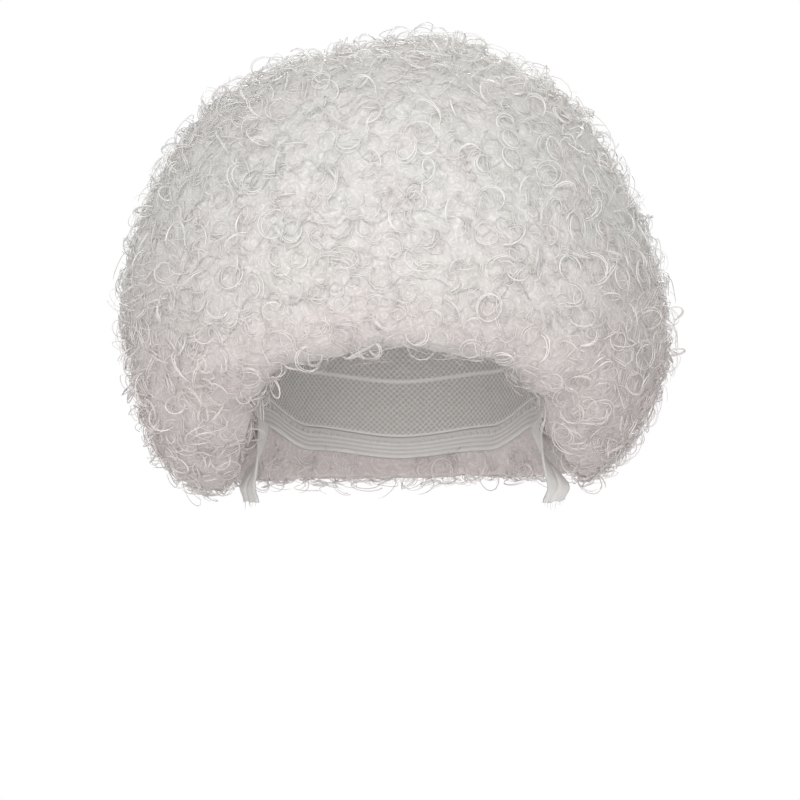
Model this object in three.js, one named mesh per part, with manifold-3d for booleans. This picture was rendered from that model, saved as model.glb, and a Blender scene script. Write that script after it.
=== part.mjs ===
// A curly afro wig, as it sits on a head: a stretch net cap with an elastic band round its edge, a cloth tab
// behind each ear, and rows of curled hair, each row one weft that is sewn round the cap.
//
// Units are millimetres. The origin is the inside of the cap's crown, where the top of the head bears.
// +Z is up, -Y is the face side and +X is the wearer's left. Azimuth runs from the face towards the left ear.
import * as THREE from "three";
import { mergeVertices } from "three/addons/utils/BufferGeometryUtils.js";
import Module from "manifold-3d";

// The head that the cap is stretched over
const HEAD_BREADTH = 154;
const HEAD_LENGTH = 196;
const CROWN_RISE = 97; // the crown above the head's widest level

// The cap and what is sewn to its edge
const CAP_WALL = 1.8;
const BAND_WALL = 2.4;
const BAND_WIDTH = 12;
const SEAM_GAP = 0.4; // between two pieces that are sewn together
const TAB_WIDTH = 13;
const TAB_WALL = 1.2;
const TAB_LENGTH = 42;
const TAB_AZIMUTH = 109; // degrees, just behind the ear

// The hair's thickness beyond the cap, over its fused mass
const HAIR_TOP_DEPTH = 70;
const HAIR_SIDE_DEPTH = 54;
const HAIR_FRONT_DEPTH = 26;
const HAIR_BACK_DEPTH = 40;
const FULLEST_LEVEL = 60; // the hair's fullest level below the crown
const HAIR_SWAY = -3; // the whole mass sits a little to the wearer's right

// The locks that stand out of each weft
const LOCK_RADIUS = 10;
const LOCK_THICKNESS = 7.4;
const LOCK_PITCH = 37.4; // from lock to lock along a weft
const LOCK_ARC = 240; // degrees of the ring that a lock makes
const LOCK_SIDES = 4; // flats round a lock
const LOCK_STEPS = 4; // bends along a lock
const LEAST_LEAN = 18; // degrees by which a lock leans over from standing straight out
const MOST_LEAN = 60;
const LUMP_HEIGHT = 3; // unevenness of the mass under the locks
const MOST_LOCKS = 100; // on one weft, so that each lock and lump has a number of its own

// The rows
const WEFTS = 7; // with the crown's own
const CROWN_SHARE = 0.16; // of the way from the crown to the rim
const SLICES = 28; // flats round the head
const LIP_SHARE = 0.16; // of the way, over which the mass rounds in to its rim
const WEFT_BENDS = [0.5]; // where the outside of a weft bends, as shares of its own width
const RIM_BENDS = [0.3, 0.6, 0.84]; // the same for the last weft, which rounds in to the rim

// How finely curves are followed
const NEARBY = 1e-3; // of the way from crown to rim, for slopes
const WELD = 1e-4; // points closer than this are one
const SAMPLES = 180; // round the head, for places along a weft

// How far the hair stands out at each angle from the crown, as a share of the hair's named sizes
const OUTLINE = [
  { polar: 0, share: 0.99 },
  { polar: 22, share: 1.0 },
  { polar: 40, share: 1.01 },
  { polar: 58, share: 0.995 },
  { polar: 78, share: 0.995 },
  { polar: 94, share: 1.015 },
  { polar: 112, share: 1.04 },
  { polar: 126, share: 1.04 },
  { polar: 140, share: 1.03 },
];

// Where the hair bulges or sinks: the middle of the place and its spread in degrees, and how far the hair
// rises there as a share of its named sizes
const SWELLS = [
  { polar: 10, azimuth: 90, spread: 11, rise: 0.058 },
  { polar: 33, azimuth: 90, spread: 14, rise: 0.026 },
  { polar: 62, azimuth: 90, spread: 14, rise: -0.014 },
  { polar: 98, azimuth: 90, spread: 10, rise: 0.032 },
  { polar: 120, azimuth: 90, spread: 11, rise: -0.016 },
  { polar: 48, azimuth: -90, spread: 18, rise: 0.026 },
  { polar: 80, azimuth: -90, spread: 16, rise: 0.024 },
  { polar: 107, azimuth: -90, spread: 11, rise: -0.02 },
  { polar: 130, azimuth: -90, spread: 12, rise: 0.03 },
  { polar: 40, azimuth: 8, spread: 16, rise: 0.018 },
  { polar: 62, azimuth: 168, spread: 20, rise: 0.026 },
  { polar: 104, azimuth: -160, spread: 16, rise: 0.022 },
];

// The rim all round: the angles from the crown at which the cap and the hair end, and the hair's share there
const RIM = [
  { azimuth: -180, capEnd: 115, hairEnd: 136, lip: 0.92 },
  { azimuth: -140, capEnd: 112, hairEnd: 136, lip: 0.92 },
  { azimuth: -112, capEnd: 104, hairEnd: 133, lip: 0.98 },
  { azimuth: -90, capEnd: 93, hairEnd: 136, lip: 0.94 },
  { azimuth: -72, capEnd: 88, hairEnd: 134, lip: 0.88 },
  { azimuth: -58, capEnd: 81, hairEnd: 127, lip: 0.85 },
  { azimuth: -42, capEnd: 72, hairEnd: 113, lip: 0.86 },
  { azimuth: -25, capEnd: 66, hairEnd: 104, lip: 0.88 },
  { azimuth: 0, capEnd: 64, hairEnd: 100, lip: 0.88 },
  { azimuth: 25, capEnd: 66, hairEnd: 103, lip: 0.88 },
  { azimuth: 42, capEnd: 72, hairEnd: 112, lip: 0.86 },
  { azimuth: 58, capEnd: 81, hairEnd: 125, lip: 0.87 },
  { azimuth: 72, capEnd: 88, hairEnd: 130, lip: 0.92 },
  { azimuth: 90, capEnd: 93, hairEnd: 132, lip: 0.97 },
  { azimuth: 112, capEnd: 104, hairEnd: 130, lip: 1.0 },
  { azimuth: 140, capEnd: 112, hairEnd: 134, lip: 0.94 },
  { azimuth: 180, capEnd: 115, hairEnd: 136, lip: 0.92 },
];

// The tab's sections from its seam to its cut end, each column a share: of the tab's length, of its whole
// turn towards the face, of the slope of the band's edge and of its whole swing
const TAB_SECTIONS = [
  { drop: 0.0, turn: 0, slope: 1, swing: 0.0 },
  { drop: 0.2, turn: 0.1, slope: 0.7, swing: 0.1 },
  { drop: 0.45, turn: 0.36, slope: 0.2, swing: 0.38 },
  { drop: 0.64, turn: 0.7, slope: 0, swing: 0.72 },
  { drop: 0.82, turn: 1, slope: -0.1, swing: 1.0 },
  { drop: 1.0, turn: 1, slope: -0.2, swing: 0.78 },
];

// The two tabs: the side they hang on, the angle they turn through from lying against the head, and how far
// they swing out from it as a share of their length
const TABS = [
  { name: "tab_left", side: 1, turned: 80, outward: 0.3 },
  { name: "tab_right", side: -1, turned: 56, outward: 0.22 },
];

// The corners of a tab's section as halves of its width and wall, from the outer face to the inner one
const TAB_CORNERS = [[1, 1], [1, -1], [-1, -1], [-1, 1]];
const TAB_INNER_FACE = 1; // its flats are split along the outer face's diagonals

const wasm = await Module();
wasm.setup();
const degrees = THREE.MathUtils.degToRad;
const scatter = THREE.MathUtils.seededRandom; // looks random and is the same on each run

/** A smooth function through a table's rows: table, its key column and the columns wanted. */
function smooth(table, key, columns) {
  const at = table.map((row) => row[key]);
  const values = table.flatMap((row) => columns.map((column) => row[column]));
  const curve = new THREE.CubicInterpolant(at, values, columns.length);
  curve.settings = { endingStart: THREE.ZeroSlopeEnding, endingEnd: THREE.ZeroSlopeEnding };
  return (x) => Object.fromEntries([...curve.evaluate(x)].map((value, i) => [columns[i], value]));
}

const outlineAt = smooth(OUTLINE, "polar", ["share"]);
const rimAt = smooth(RIM, "azimuth", ["capEnd", "hairEnd", "lip"]);

/** The point of the head form at an angle from the crown and an azimuth, moved out along its normal. */
function headPoint(polar, azimuth, out) {
  const [a, b, c] = [HEAD_BREADTH / 2, HEAD_LENGTH / 2, CROWN_RISE];
  const [p, q] = [degrees(polar), degrees(azimuth)];
  const unit = new THREE.Vector3(Math.sin(p) * Math.sin(q), -Math.sin(p) * Math.cos(q), Math.cos(p));
  const normal = new THREE.Vector3(unit.x / a, unit.y / b, unit.z / c).normalize();
  return new THREE.Vector3(a * unit.x, b * unit.y, c * (unit.z - 1)).addScaledVector(normal, out);
}

/** The angle that the elastic band takes up on the head at an azimuth. */
function bandAngle(azimuth) {
  const radius = headPoint(90, azimuth, 0).setZ(0).length();
  return THREE.MathUtils.radToDeg(BAND_WIDTH / radius);
}

/** The angle from the crown at which weft number `row` ends on the cap: 0 is the crown, WEFTS is the rim. */
function capAngle(row, azimuth) {
  const { capEnd } = rimAt(azimuth);
  return row > WEFTS - 1
    ? capEnd - (WEFTS - row) * bandAngle(azimuth)
    : ((capEnd - bandAngle(azimuth)) * row) / (WEFTS - 1);
}

/** The share of the way from crown to rim at which weft number `row` ends in the hair. */
function hairShare(row) {
  return row < 1 ? row * CROWN_SHARE : CROWN_SHARE + ((1 - CROWN_SHARE) * (row - 1)) / (WEFTS - 1);
}

/** How much further out the hair stands in a direction, as a share: the sum of the swells' soft rounds. */
function swellAt(polar, azimuth) {
  const toward = (p, q) => new THREE.Vector3().setFromSphericalCoords(1, degrees(p), degrees(q));
  const here = toward(polar, azimuth);
  return SWELLS.reduce((sum, swell) => {
    const away = THREE.MathUtils.radToDeg(here.angleTo(toward(swell.polar, swell.azimuth)));
    return sum + swell.rise * Math.exp(-((away / swell.spread) ** 2));
  }, 0);
}

/** The point of the hair mass at a share of the way from crown to rim. */
function hairPoint(share, azimuth) {
  const rim = rimAt(azimuth);
  const polar = share * rim.hairEnd;
  const into = Math.max(0, (share - 1 + LIP_SHARE) / LIP_SHARE);
  const outline = outlineAt(polar).share;
  const rounded = outline + (rim.lip - outline) * (1 - Math.sqrt(Math.max(0, 1 - into * into)));
  const scale = rounded * (1 + swellAt(polar, azimuth));
  const [p, q] = [degrees(polar), degrees(azimuth)];
  const across = HEAD_BREADTH / 2 + CAP_WALL + HAIR_SIDE_DEPTH;
  const along = HEAD_LENGTH / 2 + CAP_WALL + (Math.cos(q) > 0 ? HAIR_FRONT_DEPTH : HAIR_BACK_DEPTH);
  const upward = FULLEST_LEVEL + CAP_WALL + HAIR_TOP_DEPTH;
  return new THREE.Vector3(
    HAIR_SWAY + across * scale * Math.sin(p) * Math.sin(q),
    -along * scale * Math.sin(p) * Math.cos(q),
    upward * scale * Math.cos(p) - FULLEST_LEVEL,
  );
}

/** The outward normal of the hair mass. */
function hairNormal(share, azimuth) {
  const low = Math.min(share, 1 - NEARBY);
  const down = hairPoint(low + NEARBY, azimuth).sub(hairPoint(low, azimuth));
  const round = hairPoint(share, azimuth + 1).sub(hairPoint(share, azimuth - 1));
  return down.cross(round).normalize();
}

/** The hair mass with the unevenness that its locks give it. */
function lumpyPoint(share, azimuth) {
  const seed = Math.round(share * WEFTS * MOST_LOCKS) * MOST_LOCKS + Math.round(azimuth);
  const lump = (scatter(seed) - 0.5) * LUMP_HEIGHT;
  return hairPoint(share, azimuth).addScaledVector(hairNormal(share, azimuth), lump);
}

/**
 * A closed skin whose section goes round the head: one ring of points for each slice. `turned` tells for each
 * side of the section which way its four-cornered faces are split, so that neighbours are split alike.
 */
function ringGeometry(sectionAt, turned, closed) {
  const sections = Array.from({ length: SLICES }, (_, slice) => sectionAt(-180 + (360 * slice) / SLICES));
  const count = sections[0].length;
  const index = [];
  for (let slice = 0; slice < SLICES; slice++) {
    const next = (slice + 1) % SLICES;
    for (let k = 0; k < (closed ? count : count - 1); k++) {
      const [a, b] = [slice * count + k, slice * count + ((k + 1) % count)];
      const [d, c] = [next * count + k, next * count + ((k + 1) % count)];
      index.push(...(turned[k] ? [a, b, d, b, c, d] : [a, b, c, a, c, d]));
    }
  }
  const geometry = new THREE.BufferGeometry().setFromPoints(sections.flat());
  geometry.setIndex(index);
  return geometry;
}

/** A closed geometry as a solid that can be joined and cut. */
function solidOf(geometry) {
  const bare = new THREE.BufferGeometry().setAttribute("position", geometry.getAttribute("position"));
  if (geometry.index) bare.setIndex(geometry.index);
  const merged = mergeVertices(bare, WELD);
  const [index, kept] = [merged.index.array, []];
  for (let i = 0; i < index.length; i += 3) {
    const [a, b, c] = index.slice(i, i + 3);
    if (a !== b && b !== c && c !== a) kept.push(a, b, c);
  }
  const mesh = new wasm.Mesh({
    numProp: 3,
    vertProperties: merged.getAttribute("position").array,
    triVerts: new Uint32Array(kept),
  });
  return new wasm.Manifold(mesh);
}

/** A solid as a named mesh. */
function meshOf(name, solid, material) {
  const { vertProperties, triVerts } = solid.getMesh();
  const geometry = new THREE.BufferGeometry();
  geometry.setAttribute("position", new THREE.BufferAttribute(vertProperties, 3));
  geometry.setIndex(new THREE.BufferAttribute(triVerts, 1));
  geometry.computeVertexNormals();
  const mesh = new THREE.Mesh(geometry, material);
  mesh.name = name;
  return mesh;
}

/** The share of the way between two seams that half a seam's gap takes up. */
function halfGap(from, to) {
  return SEAM_GAP / 2 / from.distanceTo(to);
}

/** The stretch net cap, from the crown to where the elastic band is sewn on. */
function netCap() {
  const rows = Array.from({ length: WEFTS }, (_, row) => row);
  const section = (azimuth) => [
    ...rows.map((row) => headPoint(capAngle(row, azimuth), azimuth, CAP_WALL)),
    ...rows.toReversed().map((row) => headPoint(capAngle(row, azimuth), azimuth, 0)),
  ];
  const turned = [...rows.slice(1).map(() => false), false, ...rows.slice(1).map(() => true)];
  return solidOf(ringGeometry(section, turned, false));
}

/** The elastic band round the cap's edge. It is flush with the net outside and thicker inside. */
function elasticBand() {
  const gapAngle = THREE.MathUtils.radToDeg(SEAM_GAP / (HEAD_BREADTH / 2));
  const inside = CAP_WALL - BAND_WALL;
  const section = (azimuth) => {
    const top = capAngle(WEFTS - 1, azimuth) + gapAngle;
    const end = capAngle(WEFTS, azimuth);
    return [
      headPoint(top, azimuth, CAP_WALL),
      headPoint(end, azimuth, CAP_WALL),
      headPoint(end, azimuth, inside),
      headPoint(top, azimuth, inside),
    ];
  };
  return solidOf(ringGeometry(section, [false, false, true, false], true));
}

/** The fused mass of one weft: from its seam on the cap to the hair's surface, between its two neighbours. */
function weftMass(row) {
  const [crown, rim] = [row === 1, row === WEFTS];
  const [from, to] = [hairShare(row - 1), hairShare(row)];
  const bends = rim ? RIM_BENDS : WEFT_BENDS;
  const section = (azimuth) => {
    const seam = (at) => headPoint(capAngle(at, azimuth), azimuth, CAP_WALL + SEAM_GAP);
    const inner = halfGap(seam(row - 1), seam(row));
    const outer = halfGap(hairPoint(from, azimuth), hairPoint(to, azimuth));
    const at = (t) => THREE.MathUtils.lerp(from, to, t);
    return [
      hairPoint(at(crown ? 0 : outer), azimuth),
      ...bends.map((t) => lumpyPoint(at(t), azimuth)),
      hairPoint(at(rim ? 1 : 1 - outer), azimuth),
      seam(rim ? row : row - inner),
      seam(crown ? 0 : row - 1 + inner),
    ];
  };
  const outsides = Array(bends.length + 1).fill(false);
  return solidOf(ringGeometry(section, [...outsides, true, true, false], !crown));
}

/** The centreline of a lock: an arc that leaves the mass, stands out of it and goes back in. */
class LockArc extends THREE.Curve {
  constructor(centre, normal, radius, lean, bearing) {
    super();
    const across = new THREE.Vector3(0, 0, 1).cross(normal).normalize();
    this.along = across.applyAxisAngle(normal, bearing).multiplyScalar(radius);
    this.rise = normal.clone().applyAxisAngle(this.along.clone().normalize(), lean).multiplyScalar(radius);
    this.centre = centre;
  }
  getPoint(t) {
    const angle = Math.PI / 2 + (t - 0.5) * degrees(LOCK_ARC);
    return this.centre.clone()
      .addScaledVector(this.along, Math.cos(angle))
      .addScaledVector(this.rise, Math.sin(angle));
  }
}

/** One lock as a solid, its lean and bearing drawn by its number. */
function lockSolid({ share, azimuth, radius }, number) {
  const lean = degrees(THREE.MathUtils.lerp(LEAST_LEAN, MOST_LEAN, scatter(number)));
  const bearing = 2 * Math.PI * scatter();
  const path = new LockArc(hairPoint(share, azimuth), hairNormal(share, azimuth), radius, lean, bearing);
  const corners = Array.from({ length: LOCK_SIDES }, (_, k) => (2 * Math.PI * k) / LOCK_SIDES);
  const half = LOCK_THICKNESS / 2;
  const outline = corners.map((a) => new THREE.Vector2(half * Math.cos(a), half * Math.sin(a)));
  const options = { steps: LOCK_STEPS, extrudePath: path, bevelEnabled: false };
  return solidOf(new THREE.ExtrudeGeometry(new THREE.Shape(outline), options));
}

/** The seam face that ends weft number `row`: points on its outer edge and a lock's depth below it. */
function seamPoints(row, azimuths) {
  return azimuths.flatMap((azimuth) => {
    const outside = hairPoint(hairShare(row), azimuth);
    const inside = headPoint(capAngle(row, azimuth), azimuth, CAP_WALL + SEAM_GAP);
    const inward = inside.sub(outside).setLength(LOCK_RADIUS);
    return [outside, outside.clone().add(inward)];
  });
}

/** Where the locks of a weft stand: a zigzag along its middle, as wide as the weft leaves room for. */
function lockPlaces(row) {
  const azimuths = Array.from({ length: SAMPLES }, (_, i) => -180 + (360 * i) / SAMPLES);
  const [from, to] = [hairShare(row - 1), hairShare(row)];
  const centre = azimuths.map((azimuth) => hairPoint((from + to) / 2, azimuth));
  const lengths = centre.map((point, i) => point.distanceTo(centre[(i + 1) % SAMPLES]));
  const total = lengths.reduce((sum, length) => sum + length, 0);
  const count = 2 * Math.round(total / LOCK_PITCH / 2);
  const seams = [...(row > 1 ? seamPoints(row - 1, azimuths) : []), ...seamPoints(row, azimuths)];
  const nearest = (point) => Math.min(...seams.map((other) => other.distanceTo(point)));
  const clearance = LOCK_THICKNESS / 2 + SEAM_GAP;
  let [walked, i] = [0, 0];
  return Array.from({ length: count }, (_, k) => {
    while (walked + lengths[i] < (k * total) / count) walked += lengths[i++];
    const half = nearest(centre[i]) - clearance;
    const width = hairPoint(from, azimuths[i]).distanceTo(hairPoint(to, azimuths[i]));
    const aside = ((k % 2 ? 1 : -1) * Math.max(0, half - LOCK_RADIUS) * (to - from)) / width;
    return { share: (from + to) / 2 + aside, azimuth: azimuths[i], radius: Math.min(LOCK_RADIUS, half) };
  });
}

/** A whole weft: its mass with its locks fused to it. */
function weft(row) {
  const places = lockPlaces(row);
  const locks = places.map((place, k) => lockSolid(place, row * MOST_LOCKS + k));
  return wasm.Manifold.union([weftMass(row), ...locks]);
}

/** A point on the lower edge of the elastic band's flats, at a length of arc from an azimuth. */
function bandEdge(azimuth, arc) {
  const step = 360 / SLICES;
  const rim = (at) => headPoint(capAngle(WEFTS, at), at, CAP_WALL - BAND_WALL / 2);
  const first = Math.floor(azimuth / step) * step;
  const [from, to] = [rim(first), rim(first + step)];
  return from.lerp(to, (azimuth - first) / step + arc / from.distanceTo(to));
}

/** The cloth tab that hangs from the band behind the ear of one side, 1 being the wearer's left. */
function sideTab({ side, turned, outward: reach }) {
  const azimuth = side * TAB_AZIMUTH;
  const upward = new THREE.Vector3(0, 0, 1);
  const edge = [1, -1].map((end) => bandEdge(azimuth, (end * TAB_WIDTH) / 2));
  const middle = edge[0].clone().lerp(edge[1], 0.5);
  const along = edge[0].clone().sub(edge[1]).normalize();
  const outward = along.clone().cross(upward).normalize();
  const rings = TAB_SECTIONS.map(({ drop, turn, slope, swing }) => {
    const face = outward.clone().applyAxisAngle(upward, -side * degrees(turn * turned));
    const width = upward.clone().cross(face).setZ(along.z * slope);
    const centre = middle.clone().addScaledVector(outward, swing * reach * TAB_LENGTH);
    centre.z -= 2 * SEAM_GAP + drop * TAB_LENGTH;
    return TAB_CORNERS.map(([w, f]) => centre.clone()
      .addScaledVector(width, (w * TAB_WIDTH) / 2)
      .addScaledVector(face, (f * TAB_WALL) / 2));
  });
  const index = [0, 1, 2, 0, 2, 3];
  const count = TAB_CORNERS.length;
  for (let start = 0; start < (rings.length - 1) * count; start += count) {
    for (let k = 0; k < count; k++) {
      const [a, b] = [start + k, start + ((k + 1) % count)];
      const [d, c] = [a + count, b + count];
      index.push(...(k === TAB_INNER_FACE ? [a, d, c, a, c, b] : [a, d, b, b, d, c]));
    }
  }
  const end = (rings.length - 1) * count;
  index.push(end, end + 2, end + 1, end, end + 3, end + 2);
  const geometry = new THREE.BufferGeometry().setFromPoints(rings.flat());
  geometry.setIndex(index);
  return solidOf(geometry);
}

const hairFibre = new THREE.MeshStandardMaterial({ color: 0xdedad6, roughness: 0.55, metalness: 0 });
const netCloth = new THREE.MeshStandardMaterial({ color: 0xe6e2dc, roughness: 0.85, metalness: 0 });
const elasticCloth = new THREE.MeshStandardMaterial({ color: 0xecebe6, roughness: 0.8, metalness: 0 });
const tabCloth = new THREE.MeshStandardMaterial({ color: 0xd5d1cc, roughness: 0.75, metalness: 0 });

const wig = new THREE.Group();
wig.add(meshOf("net_cap", netCap(), netCloth));
wig.add(meshOf("elastic_band", elasticBand(), elasticCloth));
for (const tab of TABS) wig.add(meshOf(tab.name, sideTab(tab), tabCloth));
wig.add(meshOf("weft_crown", weft(1), hairFibre));
for (let row = 2; row <= WEFTS; row++) {
  wig.add(meshOf(`weft_${row}`, weft(row), hairFibre));
}

export default wig;
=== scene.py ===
"""A curly afro wig, dressed: its hair, net cap, elastic edge band and the cloth tabs at its sides.

Lengths are in metres in the part's own frame. The origin is the inside of the cap's crown, +Z is up, -Y is the
face side and +X is the wearer's left. Azimuth is in degrees from the face towards the wearer's left, and polar
angles are in degrees from the crown.
"""
import logging
from dataclasses import dataclass, field
from enum import Enum
from typing import Callable, Iterable, NamedTuple, Sequence

import bpy
import numpy as np
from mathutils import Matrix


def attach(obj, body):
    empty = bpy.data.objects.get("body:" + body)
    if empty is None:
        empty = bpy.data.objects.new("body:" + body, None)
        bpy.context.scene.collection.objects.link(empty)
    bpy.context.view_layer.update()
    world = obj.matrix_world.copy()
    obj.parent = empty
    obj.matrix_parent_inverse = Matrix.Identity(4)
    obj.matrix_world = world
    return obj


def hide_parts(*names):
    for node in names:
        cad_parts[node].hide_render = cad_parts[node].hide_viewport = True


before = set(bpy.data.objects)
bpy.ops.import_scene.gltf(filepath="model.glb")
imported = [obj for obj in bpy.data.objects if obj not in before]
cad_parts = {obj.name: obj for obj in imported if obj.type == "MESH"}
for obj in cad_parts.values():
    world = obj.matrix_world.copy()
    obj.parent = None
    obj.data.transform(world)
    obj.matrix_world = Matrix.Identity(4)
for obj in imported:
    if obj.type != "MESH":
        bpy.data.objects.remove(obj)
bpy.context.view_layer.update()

LOG = logging.getLogger("wig")
MM = 0.001
WEFTS = 7
BAND_WALL = 2.4 * MM
ROSY = (1.0, 0.986, 0.988)
TINT_CLOUDS = 46.0
LOW_START = -0.025
LOW_RATE = 13.0
FUZZ = 1500.0
BORDER_SEED = 80
CURL_SEED = 500
UNDER_SEED = 600
THREAD_SEED = 40
OVAL = (0.82, 1.0)
STRAND_RADIUS = (0.84, 1.12)
STRAND_TURN = 0.5
SAG = 0.6 * MM
TIP_START = 0.8
TIP_LENGTH = 0.2
TIP_LOSS = 0.65
TAB_CLEARANCE = 2.5 * MM

Array = np.ndarray
Span = tuple[float, float]
Colour = tuple[float, float, float]


def unit(vectors: Array) -> Array:
    """Return each vector divided by its length."""
    return vectors / np.maximum(np.linalg.norm(vectors, axis=-1, keepdims=True), 1e-12)


def stack(x: Array, y: Array, z: Array) -> Array:
    """Join three coordinate arrays into points along a last axis."""
    return np.stack(np.broadcast_arrays(x, y, z), axis=-1)


def corners(*numbers: Array) -> Array:
    """Join arrays of point numbers, one for each corner, into a list of faces."""
    return np.stack(numbers, axis=-1).reshape(-1, len(numbers))


def direction(polar: Array, azimuth: Array) -> Array:
    """Return the unit vector at an angle from the crown and an azimuth."""
    p, q = np.radians(polar), np.radians(azimuth)
    return stack(np.sin(p) * np.sin(q), -np.sin(p) * np.cos(q), np.cos(p))


def ease(t: Array) -> Array:
    """Return the smooth step 3t² - 2t³ of t held between 0 and 1."""
    t = np.clip(t, 0.0, 1.0)
    return t * t * (3.0 - 2.0 * t)


def mm(low: float, high: float) -> Span:
    """Return a span that is given in millimetres."""
    return low * MM, high * MM


def slices_round(count: int) -> Array:
    """Return the azimuths of evenly spaced slices round the head, as a column."""
    return np.linspace(-180, 180, count, endpoint=False)[:, None]


def across(rng: np.random.Generator, span: Span, count: int) -> Array:
    """Draw count numbers evenly spread over a span."""
    return rng.uniform(span[0], span[1], count)


@dataclass(frozen=True)
class Table:
    """A smooth curve through listed rows, level at both ends."""

    at: tuple[float, ...]
    values: tuple[float, ...]

    def __call__(self, x: Array) -> Array:
        """Read the curve.

        In each span between two rows it is the cubic whose slope at a row is the slope between that row's two
        neighbours, and nought at the table's ends.

        Args:
            x: Where to read it, in the units of the table's first column.

        Returns:
            The values there, in x's shape.
        """
        at, values = np.array(self.at), np.array(self.values)
        slope = np.zeros_like(values)
        slope[1:-1] = (values[2:] - values[:-2]) / (at[2:] - at[:-2])
        i = np.clip(np.searchsorted(at, x, side="right") - 1, 0, len(at) - 2)
        width = at[i + 1] - at[i]
        s = np.clip((x - at[i]) / width, 0.0, 1.0)
        start = (1 + 2 * s) * (1 - s) ** 2 * values[i] + s * (1 - s) ** 2 * width * slope[i]
        return start + s * s * (3 - 2 * s) * values[i + 1] - s * s * (1 - s) * width * slope[i + 1]


@dataclass
class Skin:
    """A mesh before it is an object: points, a tone for each point from 0 to 1, and faces of 4 and 3 corners."""

    points: Array
    tone: Array
    quads: Array
    triangles: Array = field(default_factory=lambda: np.zeros((0, 3), dtype=int))

    @property
    def triangle_count(self) -> int:
        """How many triangles the faces make."""
        return 2 * len(self.quads) + len(self.triangles)

    @classmethod
    def joined(cls, skins: Iterable["Skin"]) -> "Skin":
        """Join several skins into one.

        Args:
            skins: The skins, each closed in itself.

        Returns:
            One skin that holds them all, its faces numbered through.
        """
        skins = list(skins)
        starts = np.cumsum([0] + [len(skin.points) for skin in skins[:-1]])
        return cls(
            np.concatenate([skin.points for skin in skins]),
            np.concatenate([skin.tone for skin in skins]),
            np.concatenate([skin.quads + start for skin, start in zip(skins, starts)]),
            np.concatenate([skin.triangles + start for skin, start in zip(skins, starts)]),
        )

    @classmethod
    def ring(cls, sections: Array, poles: bool = False, tone: Array | float = 0.5) -> "Skin":
        """Skin a section that goes round the head.

        Neighbouring sections are joined by faces of four corners. With poles, the section is open and starts and
        ends on the crown's axis, where all slices share one point and the faces have three corners.

        Args:
            sections: Points, one row for each slice round and one column for each point of the section, which
                runs down the outside and back up the inside.
            poles: Whether the section starts and ends at a pole.
            tone: The points' tones, or one for all of them.

        Returns:
            The closed skin, its faces pointing out.
        """
        slices, count = sections.shape[:2]
        tones = np.broadcast_to(tone, (slices, count))
        if not poles:
            slot = np.arange(slices * count).reshape(slices, count)
            after = np.roll(slot, -1, axis=0)
            walls = corners(slot, np.roll(slot, -1, axis=1), np.roll(after, -1, axis=1), after)
            return cls(sections.reshape(-1, 3), tones.ravel(), walls)
        points = np.concatenate([sections[:, 1:-1].reshape(-1, 3), sections[0, [0, -1]]])
        slot = np.arange(slices * (count - 2)).reshape(slices, count - 2)
        after = np.roll(slot, -1, axis=0)
        walls = corners(slot[:, :-1], slot[:, 1:], after[:, 1:], after[:, :-1])
        start, end = np.full(slices, slot.size), np.full(slices, slot.size + 1)
        fans = np.concatenate([corners(start, slot[:, 0], after[:, 0]), corners(end, after[:, -1], slot[:, -1])])
        return cls(points, np.concatenate([tones[:, 1:-1].ravel(), tones[0, [0, -1]]]), walls, fans)

    @classmethod
    def tubes(cls, paths: Array, rims: Array, radii: Array, tones: Array, sides: int = 3) -> "Skin":
        """Carry a regular polygon along many paths at once.

        A corner is the path's point plus its radius times (cos a · rim + sin a · side), where rim is made square
        to the path and side is square to both. Both ends are closed.

        Args:
            paths: Points of the centrelines, shaped (tubes, steps, 3).
            rims: A direction at each of those points that isn't along the path.
            radii: The radius at each of those points.
            tones: One tone for each tube.
            sides: The polygon's corners.

        Returns:
            One skin that holds every tube, each of them closed.
        """
        count, steps = paths.shape[:2]
        along = unit(np.gradient(paths, axis=1))
        side = unit(np.cross(along, rims))
        rim = np.cross(side, along)
        angle = 2 * np.pi * np.arange(sides) / sides
        turn = rim[:, :, None] * np.cos(angle)[:, None] + side[:, :, None] * np.sin(angle)[:, None]
        points = paths[:, :, None] + radii[:, :, None, None] * turn
        slot = np.arange(count * steps * sides).reshape(count, steps, sides)
        over = np.roll(slot, -1, axis=2)
        walls = corners(slot[:, :-1], over[:, :-1], over[:, 1:], slot[:, 1:])
        fan = np.arange(1, sides - 1)
        first, last = slot[:, 0], slot[:, -1]
        starts = corners(first[:, [0] * len(fan)], first[:, fan + 1], first[:, fan])
        ends = corners(last[:, [0] * len(fan)], last[:, fan], last[:, fan + 1])
        tone = np.repeat(tones, steps * sides)
        return cls(points.reshape(-1, 3), tone, walls, np.concatenate([starts, ends]))


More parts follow.
